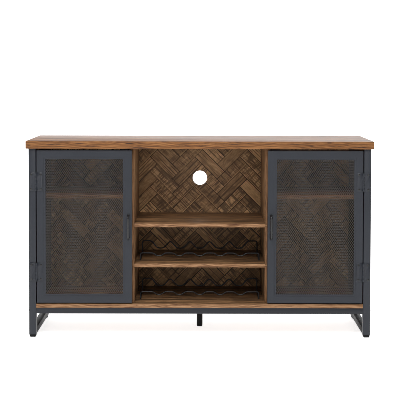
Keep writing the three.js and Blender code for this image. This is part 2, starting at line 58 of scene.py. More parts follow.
class Graph:
    """A material with a Principled shader, and short calls that add nodes to it."""

    def __init__(self, name):
        self.material = bpy.data.materials.new(name)
        self.material.use_nodes = True
        self.tree = self.material.node_tree
        self.shader = self.tree.nodes["Principled BSDF"]

    def put(self, socket, value):
        if isinstance(value, bpy.types.NodeSocket):
            self.tree.links.new(value, socket)
        elif value is not None:
            socket.default_value = value

    def node(self, kind, inputs=(), **settings):
        node = self.tree.nodes.new("ShaderNode" + kind)
        for key, value in settings.items():
            setattr(node, key, value)
        for key, value in dict(inputs).items():
            self.put(node.inputs[key], value)
        return node

    def math(self, operation, a, b=None, c=None, clamp=False):
        node = self.node("Math", operation=operation, use_clamp=clamp)
        for index, value in enumerate((a, b, c)):
            self.put(node.inputs[index], value)
        return node.outputs[0]

    def vector(self, operation, a, b):
        node = self.node("VectorMath", {0: a, 1: b}, operation=operation)
        return node.outputs[0]

    def place(self):
        """The point in the part's own frame, in metres, as separate x, y and z."""
        coordinates = self.node("TexCoord").outputs["Object"]
        parts = self.node("SeparateXYZ", {0: coordinates}).outputs
        return parts[0], parts[1], parts[2]

    def face(self):
        """The surface's direction in the part's own frame, as separate x, y and z."""
        normal = self.node("TexCoord").outputs["Normal"]
        parts = self.node("SeparateXYZ", {0: normal}).outputs
        return parts[0], parts[1], parts[2]

    def combine(self, x, y, z):
        return self.node("CombineXYZ", {0: x, 1: y, 2: z}).outputs[0]

    def noise(self, vector, scale=1.0, detail=4.0, roughness=0.55, distortion=0.0):
        inputs = {"Vector": vector, "Scale": scale, "Detail": detail, "Roughness": roughness}
        inputs["Distortion"] = distortion
        return self.node("TexNoise", inputs).outputs[0]

    def spread(self, value, low, high, to_low=0.0, to_high=1.0, smooth=True):
        """Maps a range of a value onto another, held at the ends."""
        kind = "SMOOTHSTEP" if smooth else "LINEAR"
        inputs = {0: value, 1: low, 2: high, 3: to_low, 4: to_high}
        return self.node("MapRange", inputs, interpolation_type=kind).outputs[0]

    def mix(self, share, a, b, blend="MIX"):
        node = self.node("Mix", data_type="RGBA", blend_type=blend)
        self.put(node.inputs[0], share)
        self.put(node.inputs[6], a)
        self.put(node.inputs[7], b)
        return node.outputs[2]

    def ramp(self, value, stops):
        node = self.node("ValToRGB", {0: value})
        elements = node.color_ramp.elements
        while len(elements) < len(stops):
            elements.new(0.5)
        for element, (position, colour) in zip(elements, stops):
            element.position = position
            element.color = (*colour, 1)
        return node.outputs[0]

    def scale_colour(self, colour, factor):
        """Multiplies a colour by a number."""
        grey = self.combine(factor, factor, factor)
        return self.vector("MULTIPLY", colour, grey)

    def bump(self, height, distance, strength=1.0):
        inputs = {"Strength": strength, "Distance": distance, "Height": height}
        return self.node("Bump", inputs).outputs[0]

    def finish(self, **values):
        for key, value in values.items():
            self.put(self.shader.inputs[key.replace("_", " ")], value)
        return self.material


# ---- wood ----

# Colours of one side of a board. The stain is the colour of streaks and knots.
Wood = namedtuple("Wood", "dark middle light stain")

BOARD_FACE = Wood((0.075, 0.04, 0.02), (0.19, 0.1, 0.046), (0.36, 0.2, 0.095), (0.022, 0.014, 0.009))
BOARD_EDGE = Wood((0.125, 0.06, 0.028), (0.24, 0.127, 0.063), (0.37, 0.215, 0.118), (0.06, 0.022, 0.013))
# The top's face colours are its print, lightened by a painted reflection of the light at a grazing view.
TOP_FACE = Wood((0.2, 0.105, 0.06), (0.33, 0.18, 0.108), (0.48, 0.285, 0.18), (0.11, 0.06, 0.038))
TOP_EDGE = Wood((0.085, 0.032, 0.009), (0.17, 0.069, 0.021), (0.275, 0.124, 0.042), (0.03, 0.012, 0.007))
PANEL_FACE = Wood((0.144, 0.078, 0.037), (0.272, 0.152, 0.074), (0.4, 0.232, 0.116), (0.056, 0.034, 0.019))
PANEL_EDGE = Wood((0.075, 0.037, 0.017), (0.142, 0.07, 0.032), (0.215, 0.112, 0.054), (0.034, 0.017, 0.009))
# Painted shade: a darker copy of the panel faces, for the side panels.
SHADED_SIDE_FACE = Wood((0.075, 0.04, 0.021), (0.14, 0.077, 0.039), (0.22, 0.125, 0.064), (0.034, 0.02, 0.012))

KNOT_PITCH = 0.17
GROWTH_LINES_PER_METRE = 105.0
TONE_STOPS = (0.40, 0.50, 0.61)
EDGE_GLOSS_LOSS = 0.6


def board_place(g, along):
    """A point laid flat on whichever face it is on: along the grain, across it, and a number that
    differs between faces. Also how far the face is a front, back or end edge."""
    x, y, z = g.place()
    nx, ny, nz = (g.math("GREATER_THAN", g.math("ABSOLUTE", part), 0.6) for part in g.face())
    if along == "X":
        u = g.math("MULTIPLY_ADD", nx, g.math("SUBTRACT", y, x), x)
        a = g.math("MULTIPLY_ADD", nz, g.math("SUBTRACT", y, z), z)
        edge = g.math("MAXIMUM", nx, ny)
    else:
        u = z
        a = g.math("MULTIPLY_ADD", ny, g.math("SUBTRACT", x, y), y)
        edge = ny
    layer = g.math("MULTIPLY_ADD", nz, 3.7, g.math("MULTIPLY", nx, 7.3))
    return u, a, layer, edge


def rustic_wood(name, along, faces, edges, roughness, gloss, painted_end_shade=1.0, painted_inner_shade=1.0):
    """Printed rustic board: long growth lines, dark streaks, small knots and fine fibres. Faces that
    look sideways get painted shade by the end factor, and those that look to the middle by the inner
    factor."""
    g = Graph(name)
    u, a, layer, edge = board_place(g, along)
    point = g.combine(u, a, layer)
    warp = g.noise(g.vector("MULTIPLY", point, (3.2, 15.0, 1.0)), 1.0, 3.0, 0.5, 0.2)
    rows = g.math("MULTIPLY", a, g.math("MULTIPLY_ADD", edge, 26.0, 26.0))
    lattice = g.combine(g.math("MULTIPLY", u, 1 / KNOT_PITCH), rows, layer)
    cells = g.node("TexVoronoi", {"Vector": lattice, "Scale": 1.0})
    chance = g.node("SeparateColor", {0: cells.outputs["Color"]}).outputs[0]
    picked = g.math("MAXIMUM", g.math("GREATER_THAN", chance, 0.62), edge)
    near = g.math("MULTIPLY", g.spread(cells.outputs["Distance"], 0.0, 0.42, 1.0, 0.0), picked)
    level = g.math("MULTIPLY_ADD", warp, 8.0, g.math("MULTIPLY", a, GROWTH_LINES_PER_METRE))
    level = g.math("MULTIPLY_ADD", near, 1.2, level)
    wave = g.math("SINE", g.math("MULTIPLY", level, 2 * math.pi))
    growth = g.spread(wave, -1.0, 1.0, smooth=False)
    lines = g.noise(g.vector("MULTIPLY", point, (10.0, 170.0, 1.0)), 1.0, 5.0, 0.7, 0.4)
    cloud = g.noise(g.vector("MULTIPLY", point, (6.0, 36.0, 1.0)), 1.0, 4.0, 0.6, 0.5)
    tone = g.math("MULTIPLY_ADD", growth, 0.10, g.math("MULTIPLY", lines, 0.48))
    tone = g.math("MULTIPLY_ADD", cloud, g.math("MULTIPLY_ADD", edge, -0.28, 0.42), tone)
    tone = g.math("MULTIPLY_ADD", edge, 0.14, tone)
    face_colour = g.ramp(tone, list(zip(TONE_STOPS, faces)))
    edge_colour = g.ramp(tone, list(zip(TONE_STOPS, edges)))
    colour = g.mix(edge, face_colour, edge_colour)
    stain = g.mix(edge, (*faces.stain, 1), (*edges.stain, 1))
    streaks = g.noise(g.vector("MULTIPLY", point, (10.0, 130.0, 1.0)), 1.0, 5.0, 0.68, 0.5)
    streak = g.spread(streaks, 0.53, 0.66, 0.0, 0.9)
    figure = g.noise(g.vector("MULTIPLY", point, (2.6, 44.0, 1.0)), 1.0, 4.0, 0.55, 0.5)
    on_face = g.math("SUBTRACT", 1.0, edge)
    figure = g.math("MULTIPLY", g.spread(figure, 0.50, 0.60, 0.0, 0.78), on_face)
    streak = g.math("MAXIMUM", streak, figure)
    core = g.spread(near, 0.78, 0.93, 0.0, 0.95)
    mark = g.math("MAXIMUM", streak, core)
    colour = g.mix(mark, colour, stain)
    fibres = g.noise(g.vector("MULTIPLY", point, (45.0, 1100.0, 1.0)), 1.0, 3.0, 0.6)
    colour = g.scale_colour(colour, g.spread(fibres, 0.3, 0.7, 0.84, 1.14, smooth=False))
    # Painted shade: faces that look sideways and faces that look to the middle are darkened by their
    # factors.
    ends = g.math("GREATER_THAN", g.math("ABSOLUTE", g.face()[0]), 0.6)
    colour = g.scale_colour(colour, g.math("MULTIPLY_ADD", ends, painted_end_shade - 1.0, 1.0))
    inward = g.math("LESS_THAN", g.math("MULTIPLY", g.place()[0], g.face()[0]), -0.1)
    colour = g.scale_colour(colour, g.math("MULTIPLY_ADD", inward, painted_inner_shade - 1.0, 1.0))
    height = g.math("MULTIPLY_ADD", fibres, 0.5, g.math("MULTIPLY", mark, -0.8))
    sheen = g.spread(cloud, 0.3, 0.7, roughness - 0.05, roughness + 0.07, smooth=False)
    skin = g.bump(height, 0.00010, 0.4)
    shine = g.math("MULTIPLY_ADD", edge, -EDGE_GLOSS_LOSS * gloss, gloss)
    return g.finish(Base_Color=colour, Roughness=sheen, Specular_IOR_Level=shine, Normal=skin)


# ---- herringbone back boards ----

BLOCK_WIDTH = 0.0485
BLOCK_RATIO = 3
PATTERN_SHIFT = (2.52, -0.16)
BLOCK_TONES = ((0.3, (0.13, 0.074, 0.038)), (0.58, (0.345, 0.203, 0.1)), (0.88, (0.68, 0.415, 0.205)))
SAW_MARK = (0.070, 0.044, 0.027, 1)
# Painted highlight colour for a lit edge of some blocks.
EDGE_HIGHLIGHT = (0.62, 0.38, 0.18, 1)
JOINT = (0.014, 0.010, 0.008, 1)
FIBREBOARD = ((0.3, (0.17, 0.115, 0.07)), (0.7, (0.27, 0.19, 0.12)))


def herringbone(g, x, z):
    """Herringbone blocks at 45 degrees in the XZ plane. Returns the place along and across a block,
    in block widths, and a random colour for each block."""
    ratio = BLOCK_RATIO
    turn = 1 / (BLOCK_WIDTH * math.sqrt(2))
    p = g.math("MULTIPLY_ADD", g.math("ADD", x, z), turn, PATTERN_SHIFT[0])
    q = g.math("MULTIPLY_ADD", g.math("SUBTRACT", z, x), turn, PATTERN_SHIFT[1])
    i, j = g.math("FLOOR", p), g.math("FLOOR", q)
    in_p, in_q = g.math("SUBTRACT", p, i), g.math("SUBTRACT", q, j)
    step = g.math("FLOORED_MODULO", g.math("SUBTRACT", i, j), 2.0 * ratio)
    upright = g.math("GREATER_THAN", step, ratio - 0.5)
    level = g.math("SUBTRACT", 1.0, upright)
    down = g.math("SUBTRACT", 2.0 * ratio - 1.0, step)
    along = g.math(
        "ADD",
        g.math("MULTIPLY", level, g.math("ADD", in_p, step)),
        g.math("MULTIPLY", upright, g.math("ADD", in_q, down)),
    )
    across = g.math(
        "ADD",
        g.math("MULTIPLY", level, in_q),
        g.math("MULTIPLY", upright, in_p),
    )
    first_i = g.math("SUBTRACT", i, g.math("MULTIPLY", level, step))
    first_j = g.math("SUBTRACT", j, g.math("MULTIPLY", upright, down))
    chance = g.node("TexWhiteNoise", {"Vector": g.combine(first_i, first_j, upright)})
    return along, across, chance.outputs["Color"]


def parquet(name, depth=1.0):
    """Herringbone blocks with saw marks on the front, darkened by painted shade by the depth factor, and
    plain fibreboard on the back."""
    g = Graph(name)
    x, y, z = g.place()
    along, across, chance = herringbone(g, x, z)
    parts = g.node("SeparateColor", {0: chance}).outputs
    shift = g.math("MULTIPLY", parts[0], 37.0)
    block = g.combine(along, across, shift)
    body = g.noise(g.vector("MULTIPLY", block, (1.1, 4.0, 1.0)), 1.0, 5.0, 0.65, 0.6)
    tone = g.math("MULTIPLY_ADD", parts[1], 0.34, g.math("MULTIPLY_ADD", body, 0.80, 0.04))
    colour = g.ramp(tone, BLOCK_TONES)
    saw = g.noise(g.vector("MULTIPLY", block, (7.5, 0.6, 1.0)), 1.0, 3.0, 0.55, 0.3)
    rip = g.noise(g.vector("MULTIPLY", block, (0.35, 8.5, 1.0)), 1.0, 3.0, 0.6, 0.25)
    saw_share = g.spread(parts[2], 0.15, 0.6, 0.0, 0.8)
    rip_share = g.spread(parts[0], 0.1, 0.7, 0.2, 0.8)
    saw_mark = g.math("MULTIPLY", g.spread(saw, 0.47, 0.57), saw_share)
    rip_mark = g.math("MULTIPLY", g.spread(rip, 0.49, 0.59), rip_share)
    marks = g.math("MAXIMUM", saw_mark, rip_mark)
    colour = g.mix(marks, colour, SAW_MARK)
    edge = g.math("MINIMUM", across, g.math("SUBTRACT", 1.0, across))
    end = g.math("MINIMUM", along, g.math("SUBTRACT", float(BLOCK_RATIO), along))
    border = g.math("MINIMUM", edge, end)
    # Painted highlight: a light line along one long side of some blocks.
    highlight_share = g.spread(parts[2], 0.3, 0.7, 0.0, 0.7)
    edge_highlight = g.math("MULTIPLY", g.spread(across, 0.04, 0.13, 1.0, 0.0), highlight_share)
    colour = g.mix(edge_highlight, colour, EDGE_HIGHLIGHT)
    joint = g.spread(border, 0.015, 0.05, 0.9, 0.0)
    colour = g.mix(joint, colour, JOINT)
    fibres = g.noise(g.vector("MULTIPLY", block, (3.0, 60.0, 1.0)), 1.0, 3.0, 0.6)
    # The depth factor paints shade over the front, along with the tone of the fibres.
    shade = g.spread(fibres, 0.3, 0.7, 0.82 * depth, 1.16 * depth, smooth=False)
    colour = g.scale_colour(colour, shade)
    hair = g.noise(g.combine(x, y, z), 700.0, 3.0, 0.7, 1.5)
    board = g.ramp(hair, FIBREBOARD)
    behind = g.math("GREATER_THAN", g.face()[1], 0.5)
    colour = g.mix(behind, colour, board)
    height = g.math("MULTIPLY_ADD", marks, -0.7, g.math("MULTIPLY", joint, -1.0))
    height = g.math("MULTIPLY_ADD", fibres, 0.25, height)
    skin = g.bump(height, 0.00018, 0.6)
    return g.finish(Base_Color=colour, Roughness=0.55, Specular_IOR_Level=0.2, Normal=skin)


# ---- metal and plastic ----


def powder_coat(name, colour, roughness, gloss=0.3, texture=0.5):
    """Sprayed steel: a fine orange-peel skin with slightly uneven colour."""
    g = Graph(name)
    point = g.combine(*g.place())
    cloud = g.noise(point, 14.0, 3.0, 0.5)
    speck = g.noise(point, 900.0, 2.0, 0.6)
    peel = g.noise(point, 1600.0, 2.0, 0.5)
    tint = g.math("MULTIPLY_ADD", cloud, 0.3, g.math("MULTIPLY", speck, 0.25))
    shade = g.scale_colour(colour, g.spread(tint, 0.15, 0.4, 0.88, 1.12, smooth=False))
    sheen = g.spread(cloud, 0.3, 0.7, roughness - 0.04, roughness + 0.05, smooth=False)
    skin = g.bump(peel, 0.00006, texture)
    return g.finish(Base_Color=shade, Roughness=sheen, Specular_IOR_Level=gloss, Normal=skin)


def moulded_plastic(name, colour):
    """Dull black plastic with a fine moulded grain."""
    g = Graph(name)
    point = g.combine(*g.place())
    grain = g.node("TexVoronoi", {"Vector": point, "Scale": 1400.0}).outputs["Distance"]
    cloud = g.noise(point, 40.0, 2.0, 0.5)
    shade = g.scale_colour(colour, g.spread(cloud, 0.3, 0.7, 0.85, 1.15, smooth=False))
    skin = g.bump(grain, 0.00005, 0.4)
    return g.finish(Base_Color=shade, Roughness=0.5, Specular_IOR_Level=0.15, Normal=skin)


def zinc(name):
    """Plated steel: faint flakes and scratches along the part's length."""
    g = Graph(name)
    point = g.combine(*g.place())
    flakes = g.node("TexVoronoi", {"Vector": point, "Scale": 260.0})
    tone = g.node("SeparateColor", {0: flakes.outputs["Color"]}).outputs[0]
    shade = g.ramp(tone, [(0.0, (0.50, 0.51, 0.53)), (1.0, (0.68, 0.69, 0.71))])
    scratch = g.noise(g.vector("MULTIPLY", point, (40.0, 900.0, 900.0)), 1.0, 3.0, 0.6)
    rough = g.spread(scratch, 0.3, 0.7, 0.26, 0.42, smooth=False)
    skin = g.bump(scratch, 0.00003, 0.4)
    return g.finish(Base_Color=shade, Roughness=rough, Metallic=1.0, Normal=skin)


# The look of each material slot.
LOOKS = {
    # The top's end faces get painted shade at 0.7.
    "top_wood": rustic_wood("top_wood", "X", TOP_FACE, TOP_EDGE, 0.48, 0.55, 0.7),
    "board_wood": rustic_wood("board_wood", "X", BOARD_FACE, BOARD_EDGE, 0.5, 0.25),
    "panel_wood": rustic_wood("panel_wood", "Z", PANEL_FACE, PANEL_EDGE, 0.5, 0.25),
    "parquet": parquet("parquet"),
    "frame_steel": powder_coat("frame_steel", (0.0185, 0.0210, 0.0275), 0.42),
    # The mesh steel is lighter than the frame steel: painted light on the lit strands.
    "mesh_steel": powder_coat("mesh_steel", (0.066, 0.061, 0.057), 0.4),
    "black_steel": powder_coat("black_steel", (0.009, 0.009, 0.010), 0.36),
    "handle_black": powder_coat("handle_black", (0.006, 0.006, 0.007), 0.26, gloss=0.55, texture=0.15),
    "foot_plastic": moulded_plastic("foot_plastic", (0.004, 0.004, 0.0045)),
    "catch_plastic": moulded_plastic("catch_plastic", (0.016, 0.016, 0.018)),
    "zinc_plate": zinc("zinc_plate"),
}
# The side panels' wood with painted shade: darker faces, and inner faces at 0.12.
SHADED_SIDE_PANEL = rustic_wood("shaded_side_panel_wood", "Z", SHADED_SIDE_FACE, PANEL_EDGE, 0.5, 0.25, painted_inner_shade=0.12)
LEG_STEEL = powder_coat("leg_steel", (0.004, 0.004, 0.0045), 0.5, gloss=0.12)
SCREW_BLACK = powder_coat("screw_black", (0.004, 0.004, 0.005), 0.25, gloss=0.5)
LOW_STEEL = powder_coat("low_steel", (0.0085, 0.0090, 0.0110), 0.5, gloss=0.15)
# A darker copy of the frame steel: painted shade on the front rail.
SHADED_RAIL_STEEL = powder_coat("shaded_rail_steel", (0.0125, 0.0140, 0.0185), 0.42)
SIDE_SHELF = rustic_wood("side_shelf_wood", "X", BOARD_FACE, PANEL_EDGE, 0.5, 0.25)
# A dull dark look: painted shade inside the screws' cross recesses.
RECESS_SHADE = powder_coat("screw_recess_shade", (0.006, 0.006, 0.006), 0.6)
# Parquet with painted shade, for the bays behind the doors.
SHADED_PARQUET_BEHIND_DOORS = parquet("parquet_behind_doors", 0.57)

# Nodes whose look differs from that of their slot.
SPECIAL = {
    "back_panel_left": SHADED_PARQUET_BEHIND_DOORS,
    "back_panel_right": SHADED_PARQUET_BEHIND_DOORS,
    "side_panel_left": SHADED_SIDE_PANEL,
    "side_panel_right": SHADED_SIDE_PANEL,
    "side_shelf_left": SIDE_SHELF,
    "side_shelf_right": SIDE_SHELF,
    "front_rail": SHADED_RAIL_STEEL,
    "floor_rail_left": LOW_STEEL,
    "floor_rail_right": LOW_STEEL,
    "support_leg": LEG_STEEL,
    "support_foot": LEG_STEEL,
}


# ---- mesh helpers ----


def new_piece(name, points, faces, slot, body, smooth=True, look=None):
    """A piece that moves with a body. Its look is that of its slot unless another is given."""
    mesh = bpy.data.meshes.new(name)
    mesh.from_pydata([tuple(p) for p in points], [], faces)
    sheet = bmesh.new()
    sheet.from_mesh(mesh)
    bmesh.ops.recalc_face_normals(sheet, faces=sheet.faces)
    sheet.to_mesh(mesh)
    sheet.free()
    for polygon in mesh.polygons:
        polygon.use_smooth = smooth
    piece = bpy.data.objects.new(name, mesh)
    bpy.context.scene.collection.objects.link(piece)
    mesh.materials.append(look or LOOKS[slot])
    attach(piece, body)
    return piece


def sharpen(piece, degrees):
    """Keeps the edges above an angle sharp on a smooth mesh."""
    limit = math.cos(math.radians(degrees))
    mesh = piece.data
    normals = {}
    for polygon in mesh.polygons:
        for key in polygon.edge_keys:
            normals.setdefault(key, []).append(polygon.normal)
    for edge in mesh.edges:
        pair = normals.get(tuple(sorted(edge.vertices)), [])
        edge.use_edge_sharp = len(pair) == 2 and pair[0].dot(pair[1]) < limit


def round_corners(corners, bend, steps):
    """Replaces each inner corner of a line by a curve that starts one bend length before it, or
    nearly halfway along a shorter side."""
    share = 0.45
    points = [corners[0]]
    for before, corner, after in zip(corners, corners[1:], corners[2:]):
        back, ahead = before - corner, after - corner
        reach = min(bend, back.length * share, ahead.length * share)
        start = corner + back.normalized() * reach
        end = corner + ahead.normalized() * reach
        for k in range(steps + 1):
            t = k / steps
            points.append(start * (1 - t) ** 2 + corner * (2 * t * (1 - t)) + end * t ** 2)
    points.append(corners[-1])
    return points


def sweep(points, radius, sides):
    """A closed round bar along a flat line. Returns its points and faces."""
    ways = [(b - a).normalized() for a, b in zip(points, points[1:])]
    straight = 1e-6
    normal = Vector((0, 0, 0))
    for a, b in zip(ways, ways[1:]):
        normal += a.cross(b)
        if normal.length > straight:
            break
    flat = normal.length > straight
    normal = normal.normalized() if flat else ways[0].orthogonal().normalized()
    made, faces = [], []
    for k, point in enumerate(points):
        way = (ways[max(k - 1, 0)] + ways[min(k, len(ways) - 1)]).normalized()
        side = way.cross(normal).normalized()
        for s in range(sides):
            angle = 2 * math.pi * s / sides
            reach = side * math.cos(angle) + normal * math.sin(angle)
            made.append(point + reach * radius)
    for k in range(len(points) - 1):
        for s in range(sides):
            a, b = k * sides + s, k * sides + (s + 1) % sides
            faces.append((a, a + sides, b + sides, b))
    faces.append(tuple(range(sides)))
    last = (len(points) - 1) * sides
    faces.append(tuple(last + s for s in reversed(range(sides))))
    return made, faces


def turned(centre, axis, profile, sides):
    """A solid of revolution. The profile is (radius, height) pairs along the axis, closed by a flat
    disc at each end."""
    axis = Vector(axis).normalized()
    u = axis.orthogonal().normalized()
    v = axis.cross(u)
    made, faces = [], []
    for radius, height in profile:
        for s in range(sides):
            angle = 2 * math.pi * s / sides
            reach = u * math.cos(angle) + v * math.sin(angle)
            made.append(centre + axis * height + reach * radius)
    for k in range(len(profile) - 1):
        for s in range(sides):
            a, b = k * sides + s, k * sides + (s + 1) % sides
            faces.append((a, b, b + sides, a + sides))
    faces.append(tuple(reversed(range(sides))))
    last = (len(profile) - 1) * sides
    faces.append(tuple(last + s for s in range(sides)))
    return made, faces


def merge(parts):
    """Joins several (points, faces) pairs into one."""
    points, faces = [], []
    for some_points, some_faces in parts:
        base = len(points)
        points.extend(some_points)
        faces.extend(tuple(base + i for i in face) for face in some_faces)
    return points, faces


# ---- carried-over CAD nodes ----


WELD_DISTANCE = 0.02 * MM
LEAF_EDGE = 0.25 * MM


def soften(node, width, segments, angle):
    """Rounds the edges of a CAD node that are sharper than an angle, by modifiers."""
    for polygon in node.data.polygons:
        polygon.use_smooth = True
    weld = node.modifiers.new("weld", "WELD")
    weld.merge_threshold = WELD_DISTANCE
    bevel = node.modifiers.new("edge", "BEVEL")
    bevel.width = width
    bevel.segments = segments
    bevel.limit_method = "ANGLE"
    bevel.angle_limit = math.radians(angle)
    bevel.harden_normals = True


# How far the edges of a CAD node are rounded, by its slot.
EDGE_WIDTHS = {
    "top_wood": 0.9 * MM,
    "board_wood": 0.6 * MM,
    "panel_wood": 0.6 * MM,
    "parquet": 0.4 * MM,
    "frame_steel": 2 * MM,
    "foot_plastic": 1.2 * MM,
    "catch_plastic": 0.8 * MM,
    "zinc_plate": 0.2 * MM,
    "black_steel": 0.3 * MM,
}


def dress_nodes():
    """Gives each CAD node its look and its softened edges."""
    slots = {row["node"]: row["material_slot"] for row in frame["record"]["subparts"]}
    for name, node in NODES.items():
        slot = slots[name]
        node.data.materials.clear()
        node.data.materials.append(SPECIAL.get(name, LOOKS[slot]))
        if "leaf" in name:
            soften(node, LEAF_EDGE, 1, 50)
        elif slot in EDGE_WIDTHS:
            soften(node, EDGE_WIDTHS[slot], 3, 40)


# ---- door mesh ----

CELL_WIDTH = 8.6 * MM
CELL_HEIGHT = 13.2 * MM
STRAND = 1.1 * MM
STRAND_TILT = 0.35 * MM


def expanded_mesh(side):
    """Expanded metal: a sheet of diamond openings whose strands lean a little."""
    node = f"door_{side}_mesh"
    low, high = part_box(node)
    # Cells are centred on every other point of a grid whose steps are half a cell.
    columns = int((high.x - low.x) / CELL_WIDTH)
    rows = int((high.z - low.z) / CELL_HEIGHT)
    half_w = (high.x - low.x) / columns / 2
    half_h = (high.z - low.z) / rows / 2
    pitch = 2 * half_w * half_h / math.hypot(half_w, half_h)
    share = 1 - STRAND / pitch
    corners = ((-1, 0), (0, -1), (1, 0), (0, 1))
    points, faces, shared, uses = [], [], {}, {}

    def at(i, j, back):
        key = (i, j, back)
        if key not in shared:
            shared[key] = len(points)
            points.append((low.x + i * half_w, high.y if back else low.y, low.z + j * half_h))
        return shared[key]

    for i in range(1, 2 * columns):
        for j in range(1, 2 * rows):
            if (i + j) % 2:
                continue
            inner = {}
            for back, y, tilt in ((False, low.y, -STRAND_TILT), (True, high.y, STRAND_TILT)):
                inner[back] = len(points)
                for a, b in corners:
                    x = low.x + (i + a * share) * half_w
                    points.append((x, y, low.z + (j + b * share) * half_h + tilt))
            front_hole, back_hole = inner[False], inner[True]
            for k, (a, b) in enumerate(corners):
                nxt = (k + 1) % 4
                first = (i + a, j + b)
                second = (i + corners[nxt][0], j + corners[nxt][1])
                faces.append((at(*first, False), at(*second, False), front_hole + nxt, front_hole + k))
                faces.append((at(*second, True), at(*first, True), back_hole + k, back_hole + nxt))
                faces.append((front_hole + k, front_hole + nxt, back_hole + nxt, back_hole + k))
                uses.setdefault(tuple(sorted((first, second))), []).append((first, second))
    # An edge that only one cell uses lies on the outline, which is closed there.
    for (first, second), *others in uses.values():
        if not others:
            faces.append((at(*second, False), at(*first, False), at(*first, True), at(*second, True)))
    name = f"expanded_mesh_{side}"
    piece = new_piece(name, points, faces, "mesh_steel", f"door_{side}", smooth=False)
    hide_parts(node)


# ---- door frames ----

MEMBER = 30 * MM
LIP = 8 * MM
LIP_SETBACK = 1.5 * MM
LIP_BACK = 3 * MM
FRAME_ROUNDING = 2.2 * MM


def door_frame(side):
    """The four welded members as one frame with softened edges and a thin lip round the mesh."""
    members = ("hinge_stile", "lock_stile", "top_rail", "bottom_rail")
    nodes = [f"door_{side}_{member}" for member in members]
    boxes = [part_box(node) for node in nodes]
    low = Vector(min(box[0][i] for box in boxes) for i in range(3))
    high = Vector(max(box[1][i] for box in boxes) for i in range(3))
    back = high.y - low.y
    corners = [(0, 0), (MEMBER, 0), (MEMBER, LIP_SETBACK), (MEMBER + LIP, LIP_SETBACK)]
    corners += [(MEMBER + LIP, LIP_BACK), (MEMBER, LIP_BACK), (MEMBER, back), (0, back)]
    corners = [Vector(corner) for corner in corners]
    outline = round_corners([corners[-1], *corners, corners[0]], FRAME_ROUNDING, 5)[1:-1]
    points, faces = [], []
    for inset, depth in outline:
        y = low.y + depth
        points += [(low.x + inset, y, low.z + inset), (high.x - inset, y, low.z + inset)]
        points += [(high.x - inset, y, high.z - inset), (low.x + inset, y, high.z - inset)]
    count = len(outline)
    for k in range(count):
        nxt = (k + 1) % count
        for s in range(4):
            t = (s + 1) % 4
            faces.append((4 * k + s, 4 * k + t, 4 * nxt + t, 4 * nxt + s))
    piece = new_piece(f"welded_frame_{side}", points, faces, "frame_steel", f"door_{side}")
    sharpen(piece, 35)
    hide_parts(*nodes)


# ---- handles ----


def door_handle(side):
    """A D-shaped pull with a round bar and a small foot at each end."""
    node = f"door_{side}_handle"
    low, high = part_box(node)
    radius, foot_radius, bend = 5 * MM, 6 * MM, 13 * MM
    x = (low.x + high.x) / 2
    front, face = low.y + radius, high.y
    bottom, top = low.z + foot_radius, high.z - foot_radius
    corners = ((face, bottom), (front, bottom), (front, top), (face, top))
    line = [Vector((x, y, z)) for y, z in corners]
    sides = 28
    parts = [sweep(round_corners(line, bend, 12), radius, sides)]
    rim = [(foot_radius, 0), (foot_radius, 1.6 * MM), (foot_radius - 0.3 * MM, 2.1 * MM)]
    rim += [(foot_radius - 0.8 * MM, 2.4 * MM), (radius - 0.4 * MM, 2.5 * MM)]
    for z in (bottom, top):
        parts.append(turned(Vector((x, face, z)), (0, -1, 0), rim, sides))
    piece = new_piece(f"pull_{side}", *merge(parts), "handle_black", f"door_{side}")
    sharpen(piece, 50)
    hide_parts(node)


# ---- bottle racks ----

CRADLES = 5
CRADLE_PITCH = 88.4 * MM
WIRE_RADIUS = 2.8 * MM
WIRE_SIDES = 14


def wire(line, y, base, bend):
    """A bent wire through (x, height) points in an upright plane."""
    points = [Vector((x, y, base + height)) for x, height in line]
    return sweep(round_corners(points, bend, 8), WIRE_RADIUS, WIRE_SIDES)


def rear_wire(x_end, centres):
    """Deep cradles with a peak between each two, which carry the bottles."""
    high, low, flat, shoulder = 58 * MM, 25 * MM, 14 * MM, 40 * MM
    line = [(-x_end, WIRE_RADIUS), (-x_end, high), (centres[0] - shoulder, high)]
    for centre in centres:
        line += [(centre - flat, low), (centre + flat, low)]
        if centre != centres[-1]:
            line.append((centre + CRADLE_PITCH / 2, high))
    line += [(centres[-1] + shoulder, high), (x_end, high), (x_end, WIRE_RADIUS)]
    return line


def front_wire(x_end, centres):
    """Shallow cradles with a flat stretch between each two, which carry the necks."""
    high, low, flat, lip = 31 * MM, 19 * MM, 10 * MM, 25 * MM
    line = [(-x_end, WIRE_RADIUS), (-x_end, high)]
    for centre in centres:
        line += [(centre - lip, high), (centre - flat, low)]
        line += [(centre + flat, low), (centre + lip, high)]
    line += [(x_end, high), (x_end, WIRE_RADIUS)]
    return line


def rack(level):
    """Two bent wires on feet, tied by a runner at each end."""
    node = f"bottle_rack_{level}"
    low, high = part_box(node)
    x_end = high.x - WIRE_RADIUS
    inset = 1.5 * WIRE_RADIUS
    centres = [(k - (CRADLES - 1) / 2) * CRADLE_PITCH for k in range(CRADLES)]
    wires = [
        wire(rear_wire(x_end, centres), high.y - inset, low.z, 11 * MM),
        wire(front_wire(x_end, centres), low.y + inset, low.z, 9 * MM),
    ]
    floor = low.z + WIRE_RADIUS
    for x in (-x_end, x_end):
        runner = [Vector((x, low.y, floor)), Vector((x, high.y, floor))]
        wires.append(sweep(runner, WIRE_RADIUS, WIRE_SIDES))
    piece = new_piece(f"wire_rack_{level}", *merge(wires), "black_steel", "cabinet")
    sharpen(piece, 60)
    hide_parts(node)


# ---- fasteners ----


SUNK = 0.05 * MM

